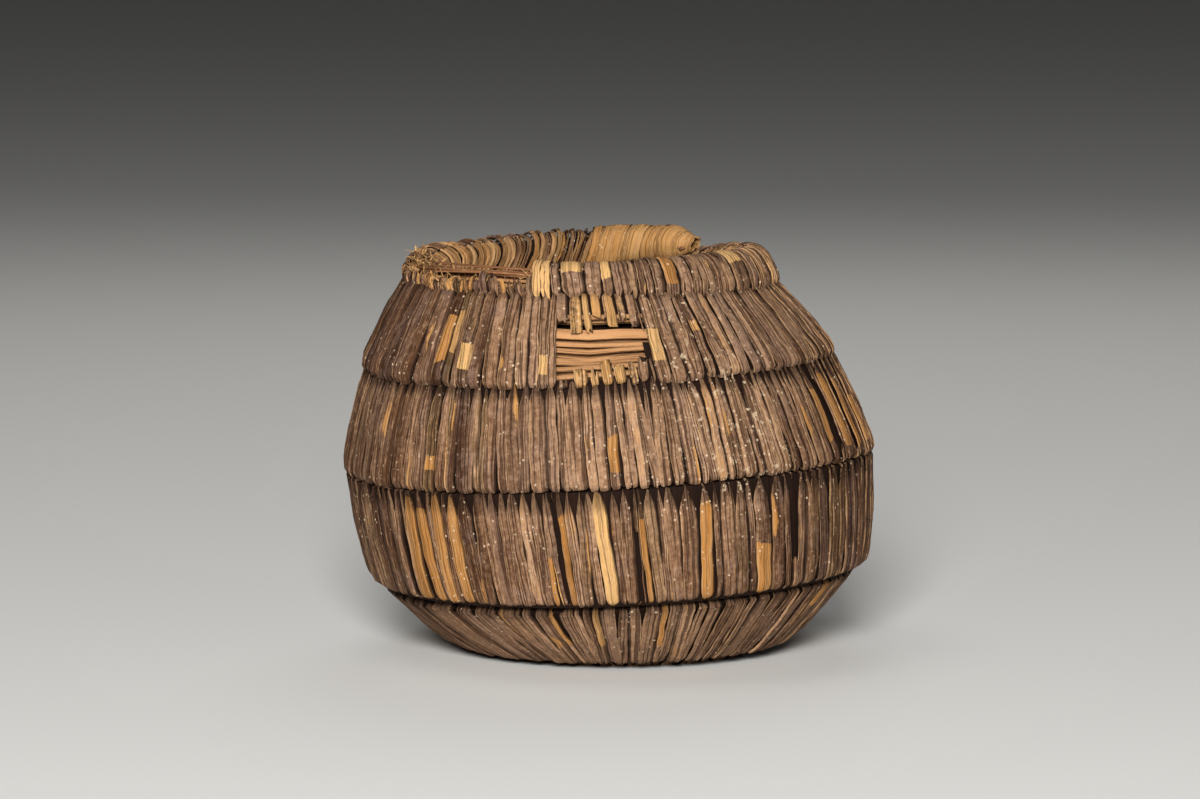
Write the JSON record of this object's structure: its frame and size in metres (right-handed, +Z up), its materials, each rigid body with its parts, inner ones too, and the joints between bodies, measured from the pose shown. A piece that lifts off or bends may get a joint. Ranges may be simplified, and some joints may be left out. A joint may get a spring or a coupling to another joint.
{
  "type": "miniature coiled basket",
  "caption": "Small round-bellied coiled basket of palm-leaf strips wound over a spiral bundle of split stems, open at the top, with a worn rim and a torn patch.",
  "frame": {"origin": "centre of the start knot's underside, on the surface that the basket rests on", "axes": "+Z up through the mouth, -Y towards the side with the torn patch, +X to that side's right"},
  "size_m": [0.1066, 0.1068, 0.0823],
  "materials": {
    "palm_leaf": "weathered dry leaf strips",
    "pale_leaf": "dry leaf strips, less weathered",
    "split_stem": "dry split stems"
  },
  "bodies": {
    "root": {"base_inner_winding_1": "palm_leaf", "base_inner_winding_2": "palm_leaf", "base_outer_winding_1": "palm_leaf", "base_outer_winding_2": "palm_leaf", "base_outer_winding_3": "palm_leaf", "base_start_taper": "palm_leaf", "loose_stem_1": "split_stem", "loose_stem_2": "split_stem", "loose_stem_3": "split_stem", "loose_stem_4": "split_stem", "rim_end_lashing": "pale_leaf", "rim_winding_1": "pale_leaf", "rim_winding_2": "pale_leaf", "rim_winding_3": "pale_leaf", "rim_winding_4": "pale_leaf", "rim_winding_5": "pale_leaf", "rim_winding_6": "pale_leaf", "rim_winding_7": "pale_leaf", "rim_winding_8": "pale_leaf", "start_knot": "palm_leaf", "stems_lower": "split_stem", "stems_middle": "split_stem", "stems_upper": "split_stem", "stems_upper_past_break": "split_stem", "wall_turn_1_winding_1": "palm_leaf", "wall_turn_1_winding_2": "palm_leaf", "wall_turn_1_winding_3": "palm_leaf", "wall_turn_1_winding_4": "palm_leaf", "wall_turn_1_winding_5": "palm_leaf", "wall_turn_1_winding_6": "palm_leaf", "wall_turn_1_winding_7": "palm_leaf", "wall_turn_1_winding_8": "palm_leaf", "wall_turn_2_winding_1": "palm_leaf", "wall_turn_2_winding_2": "palm_leaf", "wall_turn_2_winding_3": "palm_leaf", "wall_turn_2_winding_4": "palm_leaf", "wall_turn_2_winding_5": "palm_leaf", "wall_turn_2_winding_6": "palm_leaf", "wall_turn_2_winding_7": "palm_leaf", "wall_turn_2_winding_8": "palm_leaf", "wall_turn_3_winding_1": "palm_leaf", "wall_turn_3_winding_2": "palm_leaf", "wall_turn_3_winding_3": "palm_leaf", "wall_turn_3_winding_4": "palm_leaf", "wall_turn_3_winding_5": "palm_leaf", "wall_turn_3_winding_6": "palm_leaf", "wall_turn_3_winding_7": "palm_leaf", "wall_turn_3_winding_8": "palm_leaf", "wall_turn_4_winding_1": "palm_leaf", "wall_turn_4_winding_2": "palm_leaf", "wall_turn_4_winding_3": "palm_leaf", "wall_turn_4_winding_4": "palm_leaf", "wall_turn_4_winding_5": "palm_leaf", "wall_turn_4_winding_6": "palm_leaf", "wall_turn_4_winding_7": "palm_leaf", "wall_turn_4_winding_8": "palm_leaf"}
  },
  "joints": []
}
